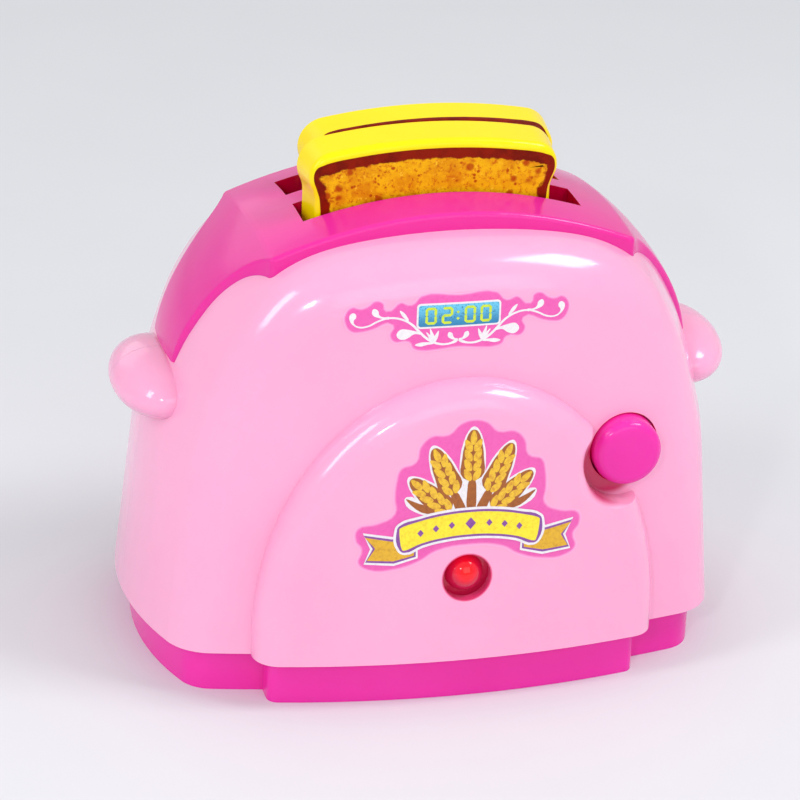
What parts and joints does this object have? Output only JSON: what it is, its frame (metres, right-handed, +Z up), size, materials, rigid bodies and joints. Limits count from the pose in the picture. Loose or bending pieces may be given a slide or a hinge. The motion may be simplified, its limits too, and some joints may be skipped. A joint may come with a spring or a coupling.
{
  "type": "toy toaster",
  "caption": "Pink toy pop-up toaster with loose slices of toast, a spring-lifted carriage, an eject button and a lamp.",
  "frame": {"origin": "on the table, under the joint between the housing halves, midway between the ends", "axes": "+X towards the toaster's right as seen from its front, -Y towards its front, +Z up"},
  "size_m": [0.1208, 0.0762, 0.1033],
  "materials": {
    "body_pink": "gloss",
    "cover_pink": "gloss",
    "base_pink": "gloss",
    "inner_pink": "satin",
    "toast_yellow": "gloss",
    "white_plastic": "satin",
    "steel": "satin",
    "spring_steel": "satin",
    "brass": "satin",
    "board_green": "satin",
    "clear_lens": "gloss",
    "cell_jacket": "gloss"
  },
  "bodies": {
    "housing": {"front_shell": "body_pink", "rear_shell": "body_pink", "top_cover": "cover_pink", "base": "base_pink", "battery_door": "base_pink", "base_screws": "steel", "door_screw": "steel", "shell_screws": "steel", "small_screws": "steel", "guide_rods": "steel", "carriage_spring": "spring_steel", "button_spring": "spring_steel", "contact_springs": "spring_steel", "contact_plates": "spring_steel", "switch_leaves": "brass", "circuit_board": "board_green", "battery_cells": "cell_jacket", "latch_frame": "white_plastic", "latch_pin": "steel", "lamp_lens": "clear_lens", "lamp_bulb": "clear_lens"},
    "carriage": {"carriage": "inner_pink"},
    "front_slice": {"front_slice": "toast_yellow"},
    "rear_slice": {"rear_slice": "toast_yellow"},
    "button": {"eject_button": "base_pink"},
    "latch": {"latch_lever": "white_plastic"}
  },
  "joints": [
    {"name": "carriage_slide", "type": "slide", "parent": "housing", "child": "carriage", "axis": [0, 0, 1], "range_m": [-0.02, 0], "stiffness_N_per_m": 100, "springref_m": 0.012, "deforming": ["carriage_spring"]},
    {"name": "front_slice_lift", "type": "slide", "parent": "carriage", "child": "front_slice", "axis": [0, 0, 1], "range_m": [0, 0.06]},
    {"name": "rear_slice_lift", "type": "slide", "parent": "carriage", "child": "rear_slice", "axis": [0, 0, 1], "range_m": [0, 0.06]},
    {"name": "button_press", "type": "slide", "parent": "housing", "child": "button", "axis": [0, 1, 0], "range_m": [0, 0.003], "stiffness_N_per_m": 300, "springref_m": -0.003, "deforming": ["button_spring"]},
    {"name": "latch_swing", "type": "hinge", "parent": "housing", "child": "latch", "pos_m": [0.0321, -0.017, 0.0375], "axis": [-1, 0, 0], "range_deg": [0, 19.8]}
  ],
  "couplings": [
    {"joint": "latch_swing", "follows": "button_press", "rad_per_m": 115.19}
  ]
}
